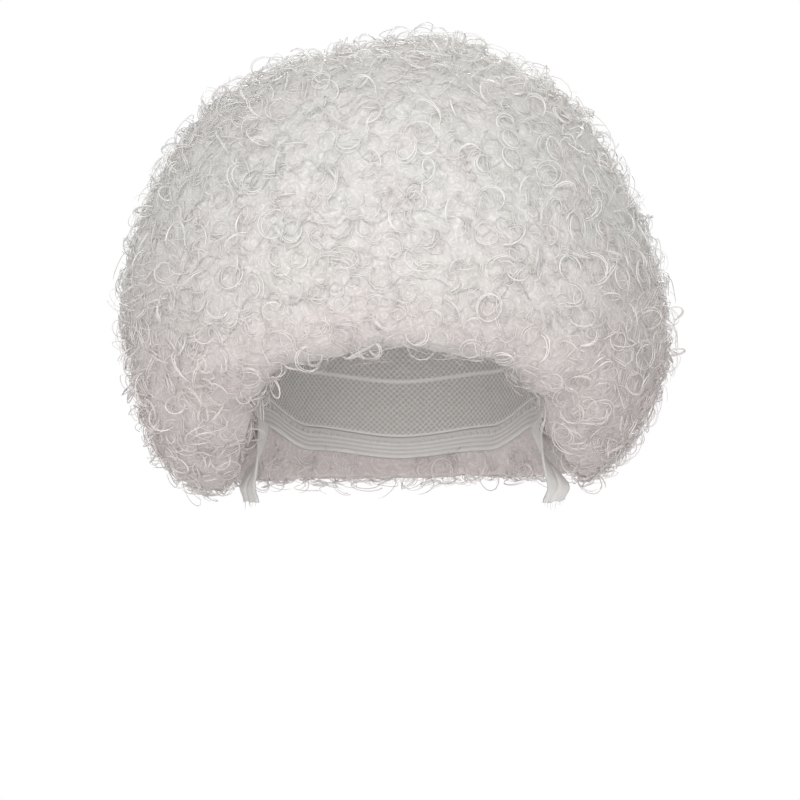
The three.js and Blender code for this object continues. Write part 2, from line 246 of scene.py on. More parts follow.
class Socket:
    """A shader number that can be written in expressions."""

    def __init__(self, graph: "Graph", link: object) -> None:
        """Wrap a socket or a plain number of a graph."""
        self.graph = graph
        self.link = link

    def _join(self, operation: str, *others: object) -> "Socket":
        """Add a Math node that has this number first."""
        return self.graph.add("ShaderNodeMath", {"operation": operation}, [self, *others])

    def __add__(self, other: object) -> "Socket":
        """Add."""
        return self._join("ADD", other)

    def __radd__(self, other: object) -> "Socket":
        """Add, reflected."""
        return self._join("ADD", other)

    def __sub__(self, other: object) -> "Socket":
        """Subtract."""
        return self._join("SUBTRACT", other)

    def __rsub__(self, other: object) -> "Socket":
        """Subtract, reflected."""
        return Socket(self.graph, other)._join("SUBTRACT", self)

    def __mul__(self, other: object) -> "Socket":
        """Multiply."""
        return self._join("MULTIPLY", other)

    def __rmul__(self, other: object) -> "Socket":
        """Multiply, reflected."""
        return self._join("MULTIPLY", other)

    def __truediv__(self, other: object) -> "Socket":
        """Divide."""
        return self._join("DIVIDE", other)

    def __pow__(self, power: object) -> "Socket":
        """Raise to a power."""
        return self._join("POWER", power)

    def sine(self) -> "Socket":
        """Take the sine."""
        return self._join("SINE")

    def size(self) -> "Socket":
        """Drop the sign."""
        return self._join("ABSOLUTE")

    def least(self, other: object) -> "Socket":
        """Take the lesser of this and another number."""
        return self._join("MINIMUM", other)

    def arc_tangent(self, other: object) -> "Socket":
        """Take the angle whose tangent is this over another number, in radians."""
        return self._join("ARCTAN2", other)

    def held(self) -> "Socket":
        """Hold between 0 and 1."""
        return self._join("MAXIMUM", 0.0).least(1.0)


class Graph:
    """The node graph of one material, with a Principled shader at its end."""

    def __init__(self, name: str, **constants: float) -> None:
        """Start a material.

        Args:
            name: The material's name.
            **constants: Values of the shader's own sockets, with underscores for the spaces in their names.
        """
        self.material = bpy.data.materials.new(name)
        self.material.use_nodes = True
        self.nodes = self.material.node_tree.nodes
        self.links = self.material.node_tree.links
        self.shader = self.nodes["Principled BSDF"]
        for key, value in constants.items():
            self.shader.inputs[key.replace("_", " ")].default_value = value

    def add(self, kind: str, settings: dict, inputs: Sequence | dict, output: int | str = 0) -> Socket:
        """Add any node.

        Args:
            kind: The node's type name.
            settings: Its own settings, which are set first. A list under "stops" sets a ramp's stops.
            inputs: Values or sockets for its inputs, in order or by name. None leaves an input as it is.
            output: Which of its outputs to return.

        Returns:
            That output, wrapped.
        """
        node = self.nodes.new(kind)
        for key, value in settings.items():
            if key == "stops":
                self._stops(node.color_ramp, value)
            else:
                setattr(node, key, value)
        pairs = inputs.items() if isinstance(inputs, dict) else enumerate(inputs)
        for key, value in pairs:
            self._feed(node.inputs[key], value)
        return Socket(self, node.outputs[output])

    def _stops(self, ramp: bpy.types.ColorRamp, stops: Sequence[tuple[float, Colour]]) -> None:
        """Set a ramp's stops.

        Args:
            ramp: The ramp.
            stops: The place and the colour of each stop.
        """
        while len(ramp.elements) < len(stops):
            ramp.elements.new(1.0)
        for element, (place, colour) in zip(ramp.elements, stops):
            element.position = place
            element.color = (*colour, 1.0)

    def _feed(self, target: bpy.types.NodeSocket, value: object) -> None:
        """Link or set one input.

        Args:
            target: The input.
            value: A wrapped or plain socket to link, a value to set, or None to leave it as it is.
        """
        if isinstance(value, Socket):
            value = value.link
        if isinstance(value, bpy.types.NodeSocket):
            self.links.new(value, target)
        elif value is not None:
            target.default_value = value

    def place(self) -> Socket:
        """Return the Object coordinates."""
        return self.add("ShaderNodeTexCoord", {}, {}, "Object")

    def axes(self) -> tuple[Socket, Socket, Socket]:
        """Return the Object coordinates as three numbers."""
        node = self.add("ShaderNodeSeparateXYZ", {}, [self.place()]).link.node
        return tuple(Socket(self, output) for output in node.outputs)

    def attribute(self, name: str) -> Socket:
        """Return a number that the mesh holds for each point."""
        return self.add("ShaderNodeAttribute", {"attribute_name": name}, {}, "Fac")

    def noise(self, scale: float, detail: float = 2.0) -> Socket:
        """Return cloudy noise from 0 to 1 with so many clouds to the metre."""
        values = {"Vector": self.place(), "Scale": scale, "Detail": detail}
        return self.add("ShaderNodeTexNoise", {}, values, "Fac")

    def ramp(self, number: Socket, *stops: tuple[float, Colour]) -> Socket:
        """Turn a number into a colour."""
        return self.add("ShaderNodeValToRGB", {"stops": stops}, [number], "Color")

    def mix(self, factor: Socket, first: object, second: object, blend: str = "MIX") -> Socket:
        """Mix two colours."""
        return self.add(
            "ShaderNodeMix", {"data_type": "RGBA", "blend_type": blend},
            {0: factor, 6: first, 7: second}, 2,
        )

    def relief(self, height: Socket, distance: float, strength: float = 1.0) -> None:
        """Feed a height into the shader's normal."""
        values = {"Height": height, "Distance": distance, "Strength": strength}
        self.feed("Normal", self.add("ShaderNodeBump", {}, values, "Normal"))

    def feed(self, name: str, value: Socket) -> None:
        """Link a socket of the shader."""
        self._feed(self.shader.inputs[name], value)


def tinted(graph: Graph, colour: Socket, low: Colour) -> Socket:
    """Tint hair faintly.

    Slow noise turns patches of it rosy or, the other way, greenish. Low down all of it turns to another tint, by how
    far the point lies below LOW_START; that tint is painted light, darker and rosier, a painted shade and a rosy
    painted reflection.

    Args:
        graph: The material's graph.
        colour: The hair's colour.
        low: What the colour is multiplied by low down: painted shade and a rosy painted reflection.

    Returns:
        The tinted colour.
    """
    swapped = (ROSY[1], ROSY[0], ROSY[1])
    patches = graph.ramp(graph.noise(TINT_CLOUDS, 1.0), (0.35, swapped), (0.5, (1.0, 1.0, 1.0)), (0.65, ROSY))
    # Painted shade and reflection: darker and rosier below LOW_START.
    depth = ((LOW_START - graph.axes()[2]) * LOW_RATE).held()
    both = graph.mix(depth, patches, (*low, 1.0))
    return graph.mix(Socket(graph, 1.0), colour, both, "MULTIPLY")


@dataclass(frozen=True)
class HairFinish:
    """Curled off-white synthetic fibre with a soft sheen, and a little darker and rosier low down as painted shade
    and a rosy painted reflection.
    """

    name: str
    deep: Colour
    shade: Colour
    middle: Colour
    light: Colour
    low: Colour
    roughness: float
    rough_spread: float = 0.2
    clouds: float = 28.0
    fibres: float = 2600.0
    tone_share: float = 0.9
    cloud_share: float = 0.2
    tone_offset: float = 0.05

    def material(self) -> bpy.types.Material:
        """Build the material.

        The tone of a strand and slow clouds pick the colour between deep and light, and tinted() adds the faint
        tints. Deep is painted shade that darkens the darkest strands, the wisps most, and so the outline; light,
        which the loops take, is partly the fibre's own colour and partly painted highlight. Fine noise roughens
        strands as loose fibres do.

        Returns:
            The material.
        """
        graph = Graph(self.name, Sheen_Weight=0.1, Sheen_Roughness=0.4, Specular_IOR_Level=0.8)
        clouds = graph.noise(self.clouds, 3.0)
        tone = graph.attribute("tone") * self.tone_share + clouds * self.cloud_share - self.tone_offset
        # deep is painted shade for dark wisps and outlines; light is partly painted highlight on the loops.
        stops = ((0.0, self.deep), (0.3, self.shade), (0.6, self.middle), (0.95, self.light))
        colour = graph.ramp(tone.held(), *stops)
        graph.feed("Base Color", tinted(graph, colour, self.low))
        fibres = graph.noise(self.fibres, 2.0)
        graph.feed("Roughness", (fibres * self.rough_spread + (self.roughness - self.rough_spread / 2)).held())
        graph.relief(fibres, 0.12 * MM, 0.6)
        return graph.material


@dataclass(frozen=True)
class MassFinish:
    """The depth of the hair between the curls, dark as painted shade: rings of fibre drawn by relief and painted
    lighter on their crests.
    """

    name: str
    dark: Colour
    light: Colour
    # edge is painted light beside the seams.
    edge: Colour
    low: Colour
    ring_scale: float = 110.0
    finer: float = 1.7
    rings_in_cell: float = 22.0

    def material(self) -> bpy.types.Material:
        """Build the material.

        Each cell of a cell pattern holds rings, the sine of the distance from its middle, and two such patterns of
        different scale are added. The colour is dark, painted shade of the hair's depth, and lighter on the rings'
        crests than between them, painted highlight and shade. Light spreads below the surface, as it does in loose
        fibre, and where the tone says that a border is near, the colour is painted lighter by as much light as is
        lost through the border's wall.

        Returns:
            The material.
        """
        graph = Graph(
            self.name, Roughness=0.7, Sheen_Weight=0.2, Specular_IOR_Level=0.2,
            Subsurface_Weight=0.7, Subsurface_Scale=3 * MM,
        )
        graph.shader.inputs["Subsurface Radius"].default_value = (1.0, 1.0, 1.0)
        rings = None
        for scale in (self.ring_scale, self.ring_scale * self.finer):
            values = {"Vector": graph.place(), "Scale": scale}
            cell = graph.add("ShaderNodeTexVoronoi", {}, values, "Distance")
            wave = (cell * self.rings_in_cell).sine() * 0.25 + 0.25
            rings = wave if rings is None else rings + wave
        # Painted light beside a seam: lighter by the light that leaks out through the wall.
        edge = (graph.attribute("tone") - 0.5).held() * 0.5
        # dark and light are painted shade of the depth, lighter on the rings' crests as painted highlight.
        colour = graph.ramp(rings + edge, (0.1, self.dark), (0.7, self.light), (1.0, self.edge))
        graph.feed("Base Color", tinted(graph, colour, self.low))
        graph.relief(rings, 0.9 * MM, 0.4)
        return graph.material


@dataclass(frozen=True)
class HeadForm:
    """The head that the cap is stretched over, an ellipsoid whose top is the origin."""

    breadth: float = 154 * MM
    length: float = 196 * MM
    rise: float = 97 * MM

    def point(self, polar: Array, azimuth: Array, out: Array | float) -> Array:
        """Find points on the head or off it.

        The point is (a·sin p·sin q, -b·sin p·cos q, c·cos p - c) for half axes a, b and c, moved out along the
        ellipsoid's normal.

        Args:
            polar: Angles from the crown.
            azimuth: Angles round the head.
            out: How far off the head.

        Returns:
            The points.
        """
        on_ball = direction(polar, azimuth)
        axes = np.array([self.breadth / 2, self.length / 2, self.rise])
        normal = unit(on_ball / axes)
        return on_ball * axes - np.array([0.0, 0.0, self.rise]) + normal * np.expand_dims(out, -1)


@dataclass(frozen=True)
class NetFinish:
    """Knitted stretch net, and the plain tapes that carry the wefts' seams."""

    head: HeadForm
    thread: Colour = (0.86, 0.835, 0.81)
    gap: Colour = (0.56, 0.538, 0.515)
    rounds: int = 190
    courses: float = 200.0

    def material(self) -> bpy.types.Material:
        """Build the material.

        The polar angle is the arc tangent of (x/a, y/b)'s length over z/c + 1, and the azimuth that of x over -y.
        Threads lie where the sine of half the sum or of half the difference of the two, each times its number of
        meshes, is near nought. Where the tone says tape, it is all thread.

        Returns:
            The material.
        """
        graph = Graph("net", Sheen_Weight=0.3, Specular_IOR_Level=0.2)
        x, y, z = graph.axes()
        level = ((x / (self.head.breadth / 2)) ** 2.0 + (y / (self.head.length / 2)) ** 2.0) ** 0.5
        polar = level.arc_tangent(z / self.head.rise + 1.0)
        pull = graph.noise(70.0, 1.0) * 2.0
        down = polar * (self.courses / 2) + pull
        around = x.arc_tangent(0.0 - y) * float(self.rounds // 2)
        nearest = (down + around).sine().size().least((down - around).sine().size())
        thread = (1.25 - nearest * 2.2).held()
        tape = (graph.attribute("tone") * 3.0 - 1.6).held()
        fuzz = graph.noise(FUZZ)
        cover = (thread + tape).held()
        graph.feed("Base Color", graph.ramp(cover * 0.8 + fuzz * 0.2, (0.1, self.gap), (0.7, self.thread)))
        graph.feed("Roughness", fuzz * 0.2 + 0.72)
        graph.relief(cover + fuzz * 0.2, 0.4 * MM, 0.8)
        return graph.material


@dataclass(frozen=True)
class ElasticFinish:
    """Ribbed woven elastic, painted darker in the grooves between its threads as painted shade."""

    thread: Colour = (0.88, 0.855, 0.83)
    groove_shade: Colour = (0.68, 0.657, 0.635)
    picks: float = 900.0

    def material(self) -> bpy.types.Material:
        """Build the material: fine cross threads are the sine of the way round, broken up by noise, and the grooves
        between them are painted darker as painted shade.

        Returns:
            The material.
        """
        graph = Graph("elastic", Sheen_Weight=0.3, Specular_IOR_Level=0.25)
        x, y, _ = graph.axes()
        picks = (x.arc_tangent(y) * self.picks).sine() * 0.5 + 0.5
        fuzz = graph.noise(FUZZ)
        weave = picks * 0.6 + fuzz * 0.4
        # The grooves take the darker colour: painted shade.
        graph.feed("Base Color", graph.ramp(weave, (0.2, self.groove_shade), (0.7, self.thread)))
        graph.feed("Roughness", fuzz * 0.2 + 0.68)
        graph.relief(weave, 0.25 * MM, 0.8)
        return graph.material


@dataclass(frozen=True)
class TabFinish:
    """Plain woven cloth of a tab, greyer in cloudy patches."""

    cloth: Colour = (0.84, 0.82, 0.80)
    worn: Colour = (0.72, 0.70, 0.682)
    threads: float = 2200.0

    def material(self) -> bpy.types.Material:
        """Build the material: a plain weave, the product of the sines of two crossing directions.

        Returns:
            The material.
        """
        graph = Graph("tab_cloth", Sheen_Weight=0.2, Specular_IOR_Level=0.3)
        x, y, z = graph.axes()
        weave = ((x + y) * self.threads * 2.0).sine() * (z * self.threads * 2.0).sine() * 0.5 + 0.5
        clouds = graph.noise(160.0, 3.0)
        graph.feed("Base Color", graph.ramp(clouds * 0.8 + weave * 0.2, (0.25, self.worn), (0.7, self.cloth)))
        graph.feed("Roughness", clouds * 0.15 + 0.6)
        graph.relief(weave * 0.3 + clouds * 0.7, 0.25 * MM, 0.7)
        return graph.material


class RimRow(NamedTuple):
    """One place along the rim: where the cap and the hair end, and how far the hair stands out there."""

    azimuth: float
    cap_end: float
    hair_end: float
    lip: float


RIM = (
    RimRow(-180, 115, 136, 0.92),
    RimRow(-140, 112, 136, 0.92),
    RimRow(-112, 104, 133, 0.98),
    RimRow(-90, 93, 136, 0.94),
    RimRow(-72, 88, 134, 0.88),
    RimRow(-58, 81, 127, 0.85),
    RimRow(-42, 72, 113, 0.86),
    RimRow(-25, 66, 104, 0.88),
    RimRow(0, 64, 100, 0.88),
    RimRow(25, 66, 103, 0.88),
    RimRow(42, 72, 112, 0.86),
    RimRow(58, 81, 125, 0.87),
    RimRow(72, 88, 130, 0.92),
    RimRow(90, 93, 132, 0.97),
    RimRow(112, 104, 130, 1.0),
    RimRow(140, 112, 134, 0.94),
    RimRow(180, 115, 136, 0.92),
)


class Swell(NamedTuple):
    """A place where the hair bulges or sinks: its middle and spread in degrees, and its rise as a share."""

    polar: float
    azimuth: float
    spread: float
    rise: float


SWELLS = (
    Swell(10, 90, 11, 0.058),
    Swell(33, 90, 14, 0.026),
    Swell(62, 90, 14, -0.014),
    Swell(98, 90, 10, 0.032),
    Swell(120, 90, 11, -0.016),
    Swell(48, -90, 18, 0.026),
    Swell(80, -90, 16, 0.024),
    Swell(107, -90, 11, -0.02),
    Swell(130, -90, 12, 0.03),
    Swell(40, 8, 16, 0.018),
    Swell(62, 168, 20, 0.026),
    Swell(104, -160, 16, 0.022),
)


@dataclass(frozen=True)
class HairForm:
    """The form of the whole hair mass, which its curls stand out of."""

    head: HeadForm = HeadForm()
    cap_wall: float = 1.8 * MM
    seam_gap: float = 0.4 * MM
    band_width: float = 12 * MM
    on_top: float = 70 * MM
    at_sides: float = 54 * MM
    in_front: float = 26 * MM
    behind: float = 40 * MM
    fullest: float = 60 * MM
    sway: float = -3 * MM
    crown_share: float = 0.16
    lip_share: float = 0.16
    outline: Table = Table(
        (0, 22, 40, 58, 78, 94, 112, 126, 140),
        (0.99, 1.0, 1.01, 0.995, 0.995, 1.015, 1.04, 1.04, 1.03),
    )

    def rim(self, azimuth: Array, column: str) -> Array:
        """Read one column of the rim's table round the head.

        Args:
            azimuth: Angles round the head.
            column: The column's name.

        Returns:
            The column's smooth values there.
        """
        rows = tuple(getattr(row, column) for row in RIM)
        around = (np.asarray(azimuth, float) + 180.0) % 360.0 - 180.0
        return Table(tuple(row.azimuth for row in RIM), rows)(around)

    def cap_angle(self, row: Array, azimuth: Array) -> Array:
        """Find the polar angle on the cap at which a weft ends.

        Wefts before the last share the net evenly, and the last one has the width of the elastic band.

        Args:
            row: The weft's number, 0 for the crown.
            azimuth: Angles round the head.

        Returns:
            The polar angles.
        """
        level = np.linalg.norm(self.head.point(90.0, azimuth, 0.0)[..., :2], axis=-1)
        band = np.degrees(self.band_width / level)
        end = self.rim(azimuth, "cap_end")
        inner = (end - band) * row / (WEFTS - 1)
        return np.where(row > WEFTS - 1, end - (WEFTS - row) * band, inner)

    def share(self, row: Array) -> Array:
        """Return the share of the way from crown to rim at which a weft ends."""
        beyond = self.crown_share + (1 - self.crown_share) * (row - 1) / (WEFTS - 1)
        return np.where(row < 1, row * self.crown_share, beyond)

    def swell(self, polar: Array, azimuth: Array) -> Array:
        """Find how much further out the hair stands in a direction, as a share.

        Each swell adds its rise times e to the power -(angle to its middle / its spread)².

        Args:
            polar: Angles from the crown.
            azimuth: Angles round the head.

        Returns:
            The sum of all swells there.
        """
        middle, around, spread_out, rise = np.array(SWELLS).T
        away = np.degrees(np.arccos(np.clip(direction(polar, azimuth) @ direction(middle, around).T, -1, 1)))
        return (rise * np.exp(-(away / spread_out) ** 2)).sum(-1)

    def point(self, share: Array, azimuth: Array) -> Array:
        """Find points of the hair mass.

        They lie on an ellipsoid about the hair's fullest level, times the outline's share at that polar angle.
        Over the last stretch the share goes to the rim's lip along a quarter circle. The swells come on top.

        Args:
            share: Shares of the way from crown to rim.
            azimuth: Angles round the head.

        Returns:
            The points.
        """
        polar = share * self.rim(azimuth, "hair_end")
        into = np.clip((share - 1 + self.lip_share) / self.lip_share, 0.0, 1.0)
        outline = self.outline(polar)
        scale = outline + (self.rim(azimuth, "lip") - outline) * (1 - np.sqrt(1 - into * into))
        scale = scale * (1 + self.swell(polar, azimuth))
        p, q = np.radians(polar), np.radians(azimuth)
        wide = self.head.breadth / 2 + self.cap_wall + self.at_sides
        deep = self.head.length / 2 + self.cap_wall + np.where(np.cos(q) > 0, self.in_front, self.behind)
        high = self.fullest + self.cap_wall + self.on_top
        return stack(
            self.sway + wide * scale * np.sin(p) * np.sin(q),
            -deep * scale * np.sin(p) * np.cos(q),
            high * scale * np.cos(p) - self.fullest,
        )

    def seam(self, row: Array, azimuth: Array) -> Array:
        """Find points of the seam on the cap at which a weft ends."""
        return self.head.point(self.cap_angle(row, azimuth), azimuth, self.cap_wall + self.seam_gap)

    def underside(self, share: Array, azimuth: Array) -> Array:
        """Find points of the rim's underside, on straight lines from the lip in to the cap."""
        share = np.asarray(share)[..., None]
        return self.point(1.0, azimuth) * (1 - share) + self.seam(float(WEFTS), azimuth) * share


Surface = Callable[[Array, Array], Array]


class Roots(NamedTuple):
    """Where curls grow: points of a surface, its outward normals and the directions down the hair."""

    points: Array
    normals: Array
    downs: Array


def steps_on(surface: Surface, share: Array, azimuth: Array) -> tuple[Array, Array]:
    """Take small steps on a surface, down the hair and round the head.

    Args:
        surface: Gives a point for each share of the way down, from 0 to 1, and each azimuth.
        share: Shares of the way down.
        azimuth: Angles round the head.

    Returns:
        The change of the point for each step of share, and for each degree.
    """
    step = 1e-3
    low = np.minimum(share, 1 - step)
    down = (surface(low + step, azimuth) - surface(low, azimuth)) / step
    around = (surface(share, azimuth + 1.0) - surface(share, azimuth - 1.0)) / 2
    return down, around


def spread(surface: Surface, reach: Span, spacing: float, rng: np.random.Generator) -> Roots:
    """Spread roots evenly over a surface that goes round the head.

    They stand in rings. Each ring gets one root for each square of the spacing that it covers, at equal steps of
    the covered surface, and each root is then shifted at random by less than the spacing.

    Args:
        surface: Gives a point for each share of the way down and each azimuth.
        reach: The shares between which the roots stand.
        spacing: The distance between neighbouring roots.
        rng: The source of every random draw.

    Returns:
        The roots.
    """
    samples, levels, jitter, shift = 721, 9, 0.25, 0.45
    azimuth = np.linspace(-180, 180, samples)
    depth = np.linspace(*reach, levels)[:, None]
    length = np.linalg.norm(np.diff(surface(depth, azimuth), axis=0), axis=-1).sum(0).mean()
    rings = max(1, round(length / spacing))
    step = (reach[1] - reach[0]) / rings
    places = []
    for ring in range(rings):
        middle = reach[0] + (ring + 0.5) * step
        down, around = steps_on(surface, np.full_like(azimuth, middle), azimuth)
        cover = np.linalg.norm(down, axis=-1) * np.linalg.norm(around, axis=-1) * step
        area = np.concatenate([[0.0], np.cumsum(cover[1:] * np.diff(azimuth))])
        count = max(1, round(area[-1] / spacing ** 2))
        where = (np.arange(count) + rng.uniform() + rng.normal(size=count) * jitter) / count % 1.0
        share = middle + rng.uniform(-shift, shift, count) * step
        places.append(np.stack([share, np.interp(where * area[-1], area, azimuth)]))
    share, azimuth = np.concatenate(places, axis=1)
    down, around = steps_on(surface, share, azimuth)
    return Roots(surface(share, azimuth), unit(np.cross(down, around)), unit(down))


def clear_paths(paths: Array, cloth: Array, gap: float) -> Array:
    """Find the paths that keep off a cloth: those with no point within the gap of any of its points.

    Args:
        paths: Points of the paths, shaped (paths, steps, 3).
        cloth: Points all over the cloth.
        gap: The least distance.

    Returns:
        Whether each path keeps off.
    """
    away = np.linalg.norm(paths[:, :, None] - cloth, axis=-1)
    return (away > gap).all(axis=(1, 2))


class Lumps:
    """Soft unevenness: a sum of a few waves through space in random directions."""

    def __init__(self, seed: int, wavelength: Span, count: int = 14) -> None:
        """Choose the waves.

        Args:
            seed: The seed of the choice.
            wavelength: The shortest and the longest wave.
            count: How many waves.
        """
        rng = np.random.default_rng(seed)
        self.waves = unit(rng.normal(size=(count, 3))) * 2 * np.pi / across(rng, wavelength, count)[:, None]
        self.phases = rng.uniform(0, 2 * np.pi, count)

    def __call__(self, points: Array) -> Array:
        """Return the mean of the waves' sines, scaled to about -1 to 1."""
        return np.sin(points @ self.waves.T + self.phases).sum(-1) / np.sqrt(2 * len(self.phases))


class CurlKind(Enum):
    """How a curl stands in the hair."""

    RINGLET = "ringlet"
    LOOP = "loop"
    WISP = "wisp"
    FRIZZ = "frizz"


@dataclass(frozen=True)
class CurlStyle:
    """One kind of curl and the spans from which each curl of it is drawn."""

    kind: CurlKind
    spacing: float
    radius: Span
    turns: Span
    height: Span
    tilt: Span
    lift: Span
    thickness: Span
    steps: int
    tone: Span
    strands: int = 1
    loose: float = 0.5 * MM

    def grow(self, ground: Roots, rng: np.random.Generator, cloth: Array | None = None) -> Skin:
        """Grow one curl at each root.

        The centreline is root + axis · (lift - height · (1 - t)^1.4) + radius(t) · (cos a · u + sin a · v) for t
        from 0 to 1, with a = a0 + 2π · turns · t and u, v and the axis square to each other. The radius swells
        by a wave along the curl and narrows to the tip, and the whole curl sags a little. A curl of several
        strands repeats that with small shifts of place, radius and turn.

        Args:
            ground: Where the curls grow.
            rng: The source of every random draw.
            cloth: Points all over a cloth. Strands that would touch it are left out.

        Returns:
            All the curls as one skin.
        """
        roots, normals, downs = ground
        count = len(roots)
        many = self.strands * count
        bearing = across(rng, (0.0, 2 * np.pi), count)[:, None]
        tilt = np.radians(across(rng, self.tilt, count))[:, None]
        sideways = np.cross(normals, downs)
        lean = downs * np.cos(bearing) + sideways * np.sin(bearing)
        axis = unit(normals * np.cos(tilt) + lean * np.sin(tilt))
        u = unit(np.cross(axis, unit(rng.normal(size=(count, 3)))))
        v = np.cross(axis, u)
        t = np.linspace(0.0, 1.0, self.steps + 1)
        hand = rng.choice([-1.0, 1.0], count)
        turns = across(rng, self.turns, count)
        start = across(rng, (0.0, 2 * np.pi), count)
        wave = across(rng, (0.0, 2 * np.pi), count)
        oval = across(rng, OVAL, count)
        radius = across(rng, self.radius, count)
        lift = across(rng, self.lift, count)
        height = across(rng, self.height, count)
        if self.kind is CurlKind.LOOP:
            roots = roots + normals * lift[:, None]
            lift = np.zeros(count)
        roots, axis, u, v = (np.repeat(each, self.strands, axis=0) for each in (roots, axis, u, v))
        hand, turns, start, wave, oval, radius, lift, height = (
            np.repeat(each, self.strands)[:, None]
            for each in (hand, turns, start, wave, oval, radius, lift, height)
        )
        single = self.strands == 1
        roots = roots + (0.0 if single else rng.normal(size=(many, 3)) * self.loose)
        start = start + (0.0 if single else rng.normal(size=(many, 1)) * STRAND_TURN)
        radius = radius * (1.0 if single else across(rng, STRAND_RADIUS, many)[:, None])
        angle = start + hand * 2 * np.pi * turns * t
        swell = 1 + 0.10 * np.sin(2 * np.pi * t * 1.3 + wave)
        rim = np.cos(angle)[..., None] * u[:, None] + oval[..., None] * np.sin(angle)[..., None] * v[:, None]
        rise = lift - height * (1 - t) ** 1.4
        reach = radius * swell * (1 - 0.22 * t ** 3)
        paths = roots[:, None] + axis[:, None] * rise[..., None] + reach[..., None] * rim
        paths[..., 2] -= SAG * t
        taper = 1 - TIP_LOSS * ease((t - TIP_START) / TIP_LENGTH)
        radii = across(rng, self.thickness, many)[:, None] / 2 * taper
        tones = across(rng, self.tone, many)
        kept = np.full(many, True) if cloth is None else clear_paths(paths, cloth, TAB_CLEARANCE)
        return Skin.tubes(paths[kept], rim[kept], radii[kept], tones[kept])


@dataclass(frozen=True)
class Weft:
    """One row of hair, sewn round the cap: its mass and its curls."""

    number: int
    form: HairForm
    styles: tuple[CurlStyle, ...]
    slices: int = 300
    rows: int = 13
    lump: float = 0.7 * MM
    proud: float = 1.0 * MM
    stray: float = 0.075
    gap: float = 0.0006
    lump_waves: Span = (8 * MM, 17 * MM)

    def border(self, seam: int, azimuth: Array) -> Array:
        """Find how far, in rows, the border over a seam strays: the sum of three waves round the head.

        Args:
            seam: The seam's number, 0 for the crown and the number of wefts for the rim, which don't stray.
            azimuth: Angles round the head.

        Returns:
            How far down the border lies.
        """
        rng = np.random.default_rng(BORDER_SEED + seam)
        waves = rng.integers(14, 46, 3)[:, None, None]
        phases = rng.uniform(0, 2 * np.pi, 3)[:, None, None]
        size = self.stray if 0 < seam < WEFTS else 0.0
        return size * np.sin(waves * np.radians(azimuth) + phases).sum(0)

    @property
    def node(self) -> str:
        """The name of the row's solid."""
        return "weft_crown" if self.number == 1 else f"weft_{self.number}"

    def mass(self) -> Skin:
        """Skin the fused mass between the row's two seams.

        The section runs down the hair's surface, which lumps make uneven, and back up the seam on the cap. The
        crown's row is a disc, so its section starts and ends at the pole.

        Returns:
            The closed skin.
        """
        crown, rim = self.number == 1, self.number == WEFTS
        azimuth = slices_round(self.slices)
        first = 0.0 if crown else self.gap
        last = 1.0 if rim else 1 - self.gap
        t = np.linspace(first, last, self.rows)[None]
        strays = self.border(self.number - 1, azimuth) * (1 - t) + self.border(self.number, azimuth) * t
        share = self.form.share(self.number - 1 + t + strays)
        outside = self.form.point(share, azimuth)
        round_about = np.broadcast_to(azimuth, share.shape)
        normal = unit(np.cross(*steps_on(self.form.point, share, round_about)))
        lumps = Lumps(11, self.lump_waves)
        outside = outside + normal * (self.proud + self.lump * lumps(outside))[..., None]
        if crown:
            outside[:, 0] = outside[:, 0].mean(0)
        back = self.number - 1 + np.linspace(last, first, 3)[None]
        inside = self.form.seam(back, azimuth)
        if rim:
            way = np.linspace(0, 1, 6)[None, 1:-1, None]
            under = outside[:, -1:] * (1 - way) + inside[:, :1] * way
            inside = np.concatenate([under, inside], axis=1)
        sections = np.concatenate([outside, inside], axis=1)
        # Tone 1 on the rows beside a seam marks where the depth's material paints light.
        tone = np.full(sections.shape[1], 0.5)
        tone[([] if crown else [0]) + ([] if rim else [self.rows - 1])] = 1.0
        return Skin.ring(sections, poles=crown, tone=tone)

    def curls(self) -> Skin:
        """Grow the curls of the row's outside, kind by kind.

        Returns:
            The curls as one skin.
        """
        rng = np.random.default_rng(CURL_SEED + self.number)
        reach = tuple(self.form.share(np.array([self.number - 1.0, float(self.number)])))
        grown = (style.grow(spread(self.form.point, reach, style.spacing, rng), rng) for style in self.styles)
        return Skin.joined(grown)

    def under_curls(self, cloth: Array, reach: Span = (0.0, 0.8)) -> Skin:
        """Grow the curls of the rim's underside, kind by kind, from the lip most of the way in to the cap.

        Args:
            cloth: Points all over the tabs, which no strand touches.
            reach: The shares of the way in between which the curls stand.

        Returns:
            The curls as one skin.
        """
        rng = np.random.default_rng(UNDER_SEED + self.number)
        wider = 1.15
        grown = (
            style.grow(spread(self.form.underside, reach, style.spacing * wider, rng), rng, cloth)
            for style in self.styles
        )
        return Skin.joined(grown)


@dataclass(frozen=True)
class NetCap:
    """The stretch net cap with the tapes that carry the wefts."""

    form: HairForm
    wall: float = 1.8 * MM
    slices: int = 120
    rows: int = 61
    track: float = 0.4 * MM
    track_width: float = 5 * MM

    def skin(self) -> Skin:
        """Skin the cap: down its outside, and up its inside, where a tape stands proud along each weft's seam.

        Returns:
            The closed skin, with tone 1 on the tapes and 0 on the net.
        """
        soft = 1.6
        azimuth = slices_round(self.slices)
        row = np.linspace(0.0, WEFTS - 1.0, self.rows)[None]
        polar = self.form.cap_angle(row, azimuth)
        outside = self.form.head.point(polar, azimuth, self.wall)
        per_row = self.form.head.rise * np.radians(polar[:, -1:]) / (WEFTS - 1)
        away = np.abs(row - np.round(row)) * per_row / self.track_width
        tape = ease(soft - away * 2 * soft) * (np.round(row) > 0)
        inside = self.form.head.point(polar, azimuth, -self.track * tape)
        sections = np.concatenate([outside, inside[:, ::-1]], axis=1)
        return Skin.ring(sections, poles=True, tone=np.concatenate([tape, tape[:, ::-1]], axis=1))


